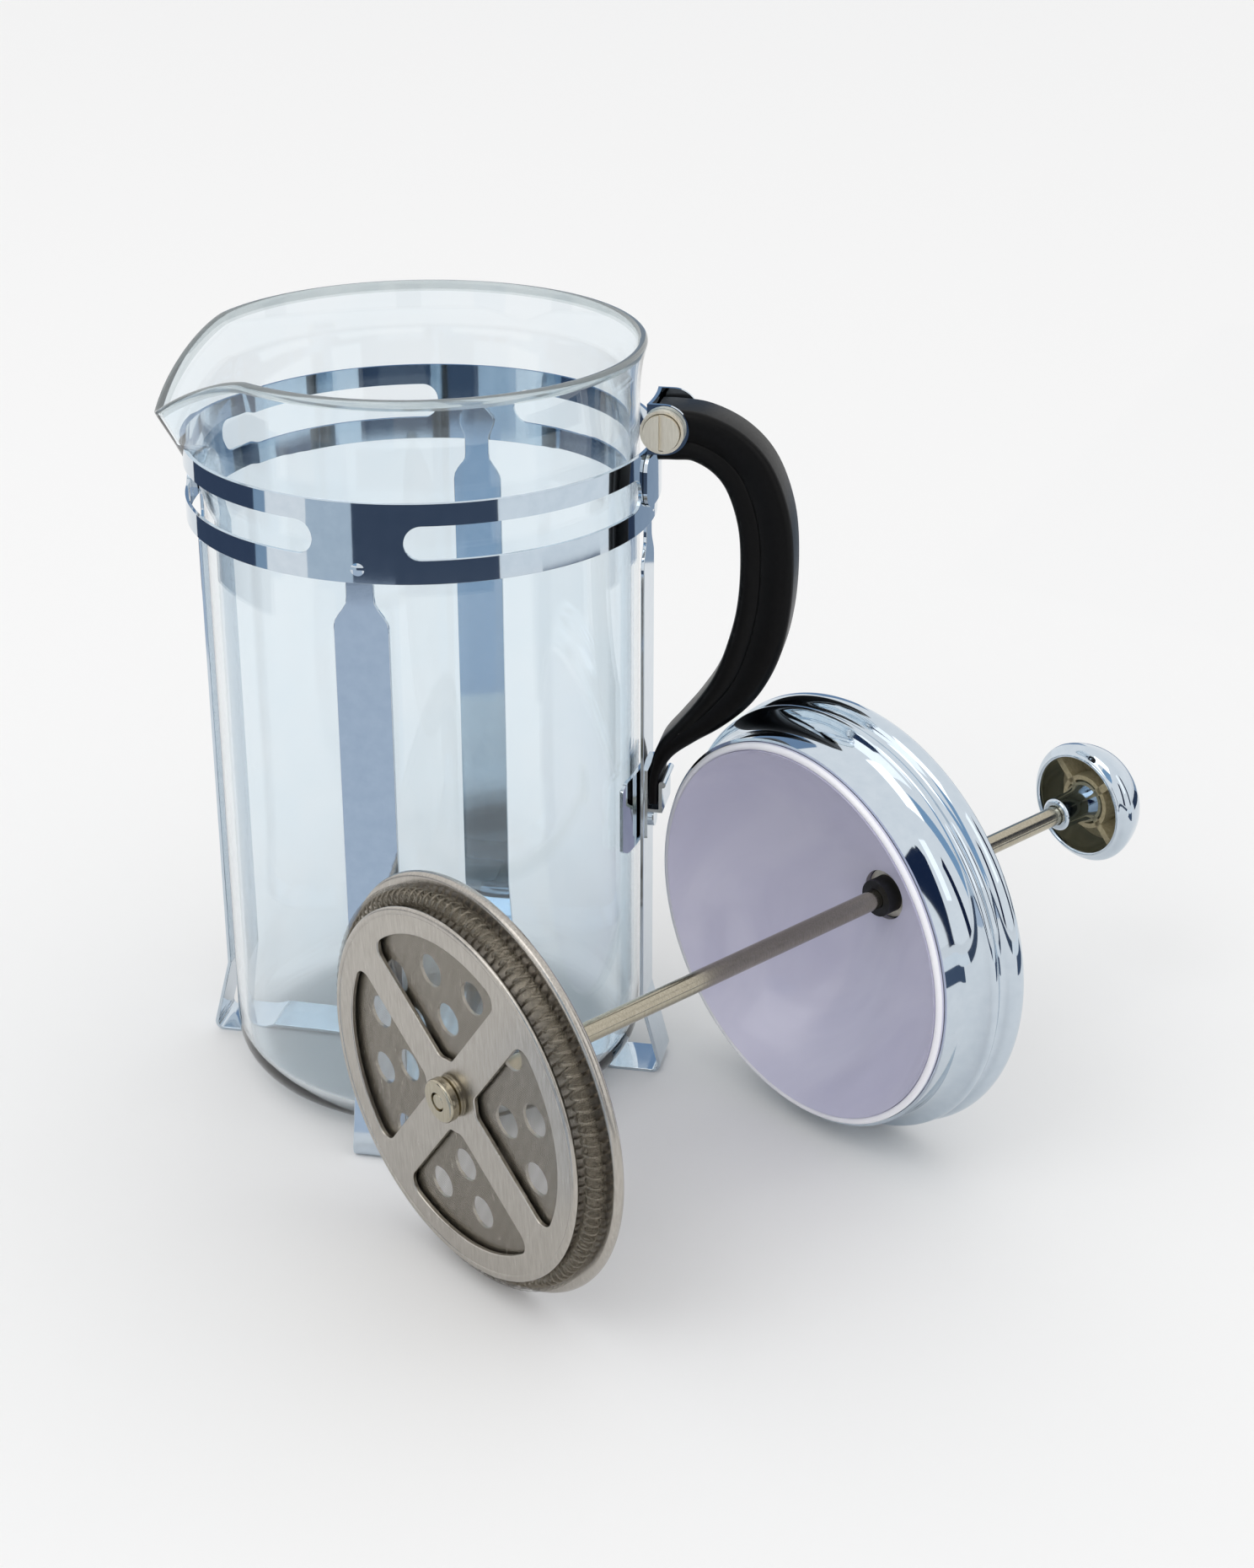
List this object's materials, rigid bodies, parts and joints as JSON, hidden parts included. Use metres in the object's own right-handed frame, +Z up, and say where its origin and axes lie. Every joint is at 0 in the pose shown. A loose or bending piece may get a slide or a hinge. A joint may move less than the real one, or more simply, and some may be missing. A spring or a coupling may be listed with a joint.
{
  "type": "french press",
  "caption": "French press with a glass beaker in a chromed strap stand with a black side handle, and its plunger, lid and filter lying beside it.",
  "frame": {"origin": "on the beaker's axis, on the surface that the feet stand on", "axes": "+Z up along the beaker, +X towards the handle"},
  "size_m": [0.2196, 0.1865, 0.1763],
  "materials": {
    "clear_glass": "polished",
    "chromed_steel": "polished",
    "black_handle": "satin",
    "screw_steel": "satin",
    "filter_steel": "satin",
    "gauze_steel": "woven",
    "coil_steel": "drawn",
    "rod_steel": "polished",
    "white_plastic": "gloss",
    "black_plastic": "matte",
    "knob_core_plastic": "matte"
  },
  "bodies": {
    "stand": {"frame_band": "chromed_steel", "lengthwise_leg_strap": "chromed_steel", "crosswise_leg_strap": "chromed_steel", "handle_bracket": "chromed_steel", "handle_grip": "black_handle", "handle_screw": "screw_steel", "screw_washer": "screw_steel", "handle_nut": "screw_steel", "lower_handle_clip": "chromed_steel", "handle_saddle": "chromed_steel", "clip_rivet": "chromed_steel"},
    "beaker": {"glass_beaker": "clear_glass"},
    "lid": {"lid_dome": "chromed_steel", "lid_liner": "white_plastic", "rod_guide": "black_plastic", "guide_retainer": "screw_steel"},
    "plunger": {"plunger_rod": "rod_steel"},
    "knob": {"knob_shell": "chromed_steel", "knob_core": "knob_core_plastic", "knob_boss": "screw_steel"},
    "filter": {"perforated_plate": "filter_steel", "coil_spring": "coil_steel", "mesh_screen": "gauze_steel", "cross_plate": "filter_steel", "hub_nut": "filter_steel"}
  },
  "joints": [
    {"name": "beaker_lift", "type": "slide", "parent": "stand", "child": "beaker", "axis": [0, 0, 1], "range_m": [0, 0.18]},
    {"name": "plunger_clear", "type": "slide", "parent": "stand", "child": "lid", "axis": [0.7727, -0.6347, 0], "range_m": [0, 0.15]},
    {"name": "plunge", "type": "slide", "parent": "lid", "child": "plunger", "axis": [-0.634, -0.7718, -0.0483], "range_m": [-0.005, 0.052]},
    {"name": "knob_turn", "type": "hinge", "parent": "plunger", "child": "knob", "pos_m": [0.14842, 0.04663, 0.05491], "axis": [0.634, 0.7718, 0.0483], "continuous": true},
    {"name": "filter_turn", "type": "hinge", "parent": "plunger", "child": "filter", "pos_m": [0.0343, -0.0923, 0.0462], "axis": [0.634, 0.7718, 0.0483], "continuous": true}
  ]
}
